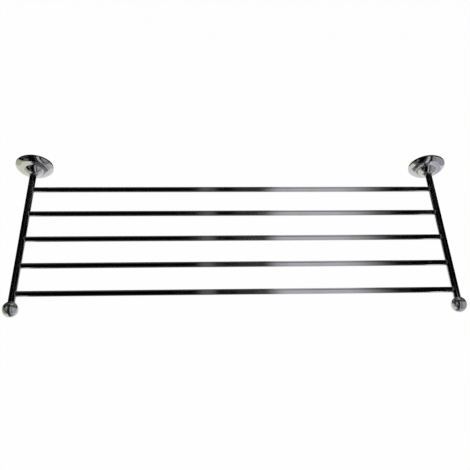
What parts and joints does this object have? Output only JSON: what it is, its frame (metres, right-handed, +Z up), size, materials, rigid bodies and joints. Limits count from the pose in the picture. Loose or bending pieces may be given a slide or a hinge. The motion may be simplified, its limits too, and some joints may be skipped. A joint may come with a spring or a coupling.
{
  "type": "towel shelf",
  "caption": "Wall-mounted chrome towel shelf of round cross bars between two side arms, with domed wall rosettes and ball finials.",
  "frame": {"origin": "centre of the four wall screws, on the wall's surface and level with the arms' axes", "axes": "+X along the cross bars to the right, +Y into the wall, +Z up; the shelf stands out of the wall towards -Y"},
  "size_m": [0.655, 0.2446, 0.055],
  "materials": {
    "chrome": "polished",
    "plate_steel": "turned, zinc plated",
    "screw_steel": "plain",
    "brass": "turned"
  },
  "bodies": {
    "rack": {"wall_plate_left": "plate_steel", "plate_bolt_left": "screw_steel", "rear_insert_left": "brass", "side_arm_left": "chrome", "front_insert_left": "brass", "finial_stud_left": "screw_steel", "finial_left": "chrome", "wall_plate_right": "plate_steel", "plate_bolt_right": "screw_steel", "rear_insert_right": "brass", "side_arm_right": "chrome", "front_insert_right": "brass", "finial_stud_right": "screw_steel", "finial_right": "chrome", "cross_bar_1": "chrome", "cross_bar_2": "chrome", "cross_bar_3": "chrome", "cross_bar_4": "chrome", "cross_bar_5": "chrome"},
    "cover_left": {"rosette_cover_left": "chrome", "cover_screw_left": "screw_steel"},
    "cover_right": {"rosette_cover_right": "chrome", "cover_screw_right": "screw_steel"}
  },
  "joints": [
    {"name": "cover_left_slide", "type": "slide", "parent": "rack", "child": "cover_left", "axis": [0, -1, 0], "range_m": [0, 0.022]},
    {"name": "cover_right_slide", "type": "slide", "parent": "rack", "child": "cover_right", "axis": [0, -1, 0], "range_m": [0, 0.022]}
  ]
}
